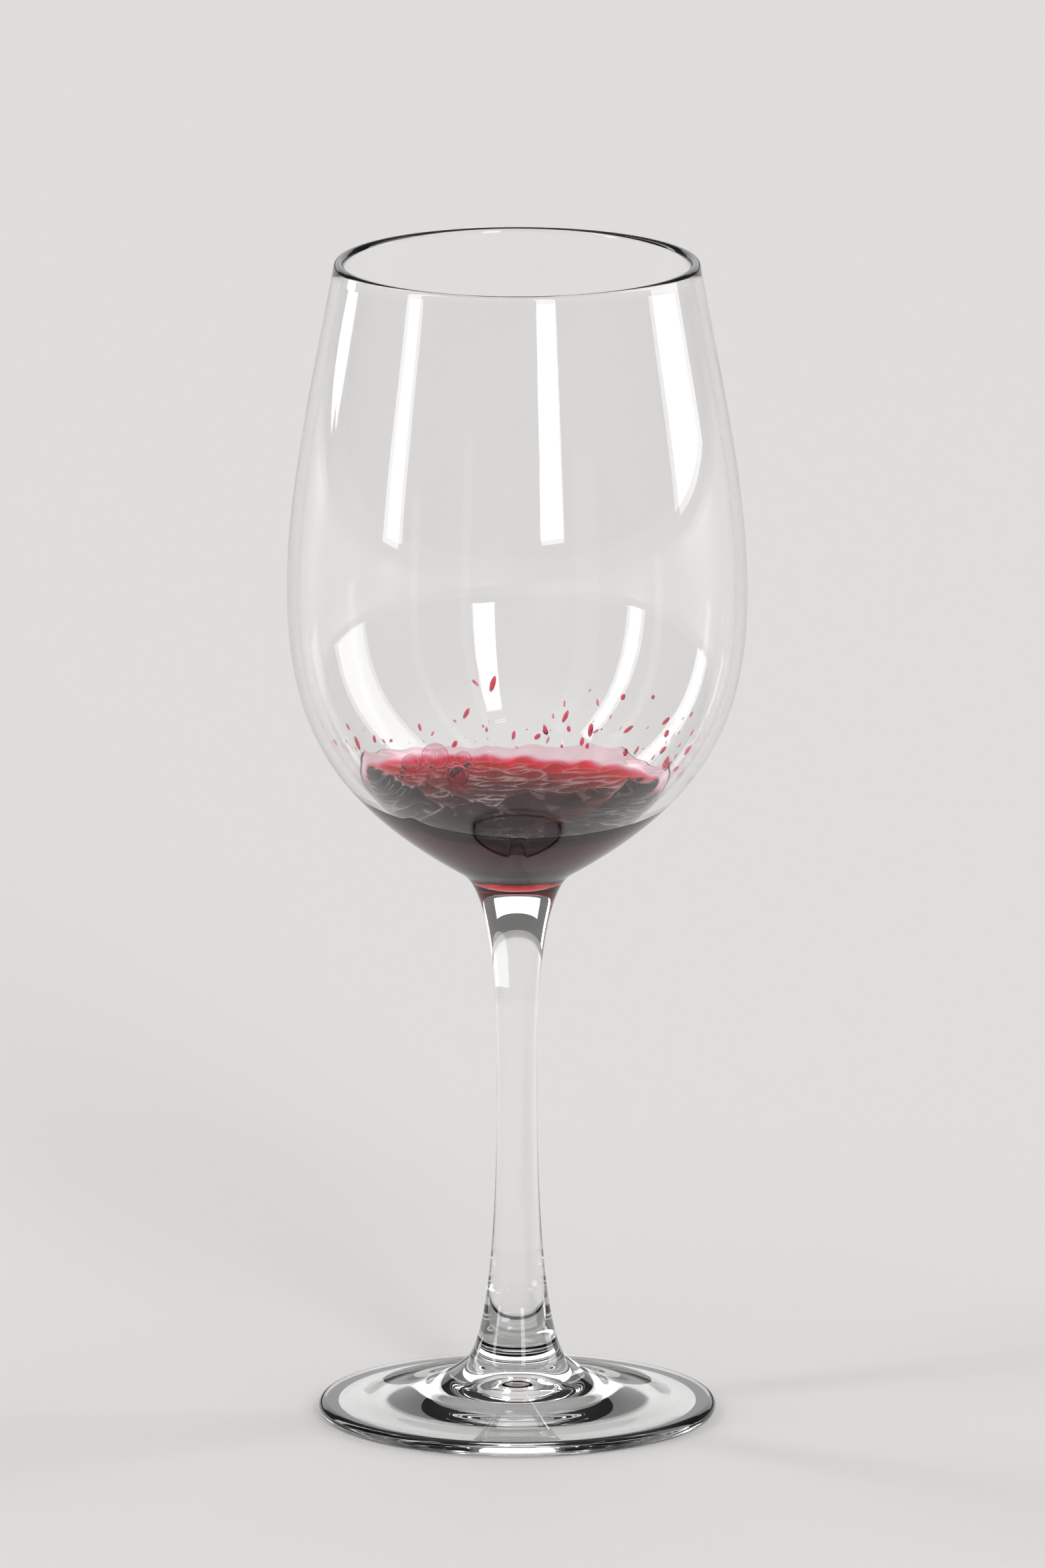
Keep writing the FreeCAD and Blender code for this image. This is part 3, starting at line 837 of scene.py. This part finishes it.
class RedWineStage(bpy.types.Operator):
    """Pale floor, soft surroundings, strip lights and the camera"""

    bl_idname = "red_wine.stage"
    bl_label = "Stage"

    def execute(self, context):
        scene = context.scene
        stage = scene.stage_settings
        self.floor(stage)
        self.surround(scene, stage)
        for softbox in SOFTBOXES:
            add_softbox(*softbox)
        self.camera(scene, stage)
        scene.view_settings.view_transform = "Standard"
        scene.view_settings.look = "Medium High Contrast"
        scene.view_settings.exposure = stage.exposure
        return {"FINISHED"}

    def floor(self, stage):
        """One large square on the ground, even and almost matt."""
        half = stage.floor_size / 2
        corners = np.array([(-half, -half, 0), (half, -half, 0), (half, half, 0), (-half, half, 0)])
        material = bpy.data.materials.new("pale_floor")
        material.use_nodes = True
        shader = material.node_tree.nodes["Principled BSDF"]
        shader.inputs["Base Color"].default_value = (*stage.floor_colour, 1.0)
        shader.inputs["Roughness"].default_value = 0.6
        shader.inputs["Specular IOR Level"].default_value = 0.2
        square = np.array([[0, 1, 2, 3]])
        floor = mesh_piece("floor", corners, square, np.zeros((0, 3), int), material)

    def surround(self, scene, stage):
        """Surroundings that are dim near the horizon and bright high above, by a smooth ramp."""
        world = bpy.data.worlds.new("surroundings")
        world.use_nodes = True
        tree = world.node_tree
        place = tree.nodes.new("ShaderNodeTexCoord")
        split = tree.nodes.new("ShaderNodeSeparateXYZ")
        ramp = add_node(
            tree, "ShaderNodeMapRange", From_Min=0.45, From_Max=0.85,
            To_Min=stage.band_brightness, To_Max=stage.sky_brightness)
        ramp.interpolation_type = "SMOOTHSTEP"
        tree.links.new(place.outputs["Generated"], split.inputs["Vector"])
        tree.links.new(split.outputs["Z"], ramp.inputs["Value"])
        tree.links.new(ramp.outputs["Result"], tree.nodes["Background"].inputs["Strength"])
        tree.nodes["Background"].inputs["Color"].default_value = (1.0, 0.99, 0.98, 1.0)
        scene.world = world

    def camera(self, scene, stage):
        """A long lens, far off, that looks down a little."""
        data = bpy.data.cameras.new("camera")
        camera = bpy.data.objects.new("camera", data)
        data.sensor_width = 36.0
        data.lens = data.sensor_width * stage.camera_distance / stage.field_height
        aim = Vector((stage.aim_right, 0.0, stage.aim_height))
        back = Vector((0.0, -math.cos(stage.camera_rise), math.sin(stage.camera_rise)))
        camera.location = aim + stage.camera_distance * back
        camera.rotation_euler = (-back).to_track_quat("-Z", "Y").to_euler()
        data.clip_start = 0.05
        data.clip_end = 100.0
        scene.collection.objects.link(camera)
        scene.camera = camera


class RedWinePanel(bpy.types.Panel):
    """Buttons that build the glass of red wine"""

    bl_idname = "VIEW3D_PT_red_wine"
    bl_label = "Glass of Red Wine"
    bl_space_type = "VIEW_3D"
    bl_region_type = "UI"
    bl_category = "Red Wine"

    def draw(self, context):
        for operator in OPERATORS:
            self.layout.operator(operator.bl_idname)


OPERATORS = (RedWineStage, RedWineGlass, RedWineWine, RedWineBubbles, RedWineDrops)
SETTINGS = {
    "glass_sizes": GlassSizes, "wine_sizes": WineSizes, "splash_sizes": SplashSizes,
    "stage_settings": StageSettings,
}


def register():
    for item in (*SETTINGS.values(), *OPERATORS, RedWinePanel):
        bpy.utils.register_class(item)
    for name, group in SETTINGS.items():
        setattr(bpy.types.Scene, name, PointerProperty(type=group))


def unregister():
    for name in SETTINGS:
        delattr(bpy.types.Scene, name)
    for item in (RedWinePanel, *reversed(OPERATORS), *reversed(list(SETTINGS.values()))):
        bpy.utils.unregister_class(item)


def main():
    register()
    bpy.ops.red_wine.stage()
    bpy.ops.red_wine.glass()
    bpy.ops.red_wine.wine()
    bpy.ops.red_wine.bubbles()
    bpy.ops.red_wine.drops()


if __name__ == "__main__":
    main()
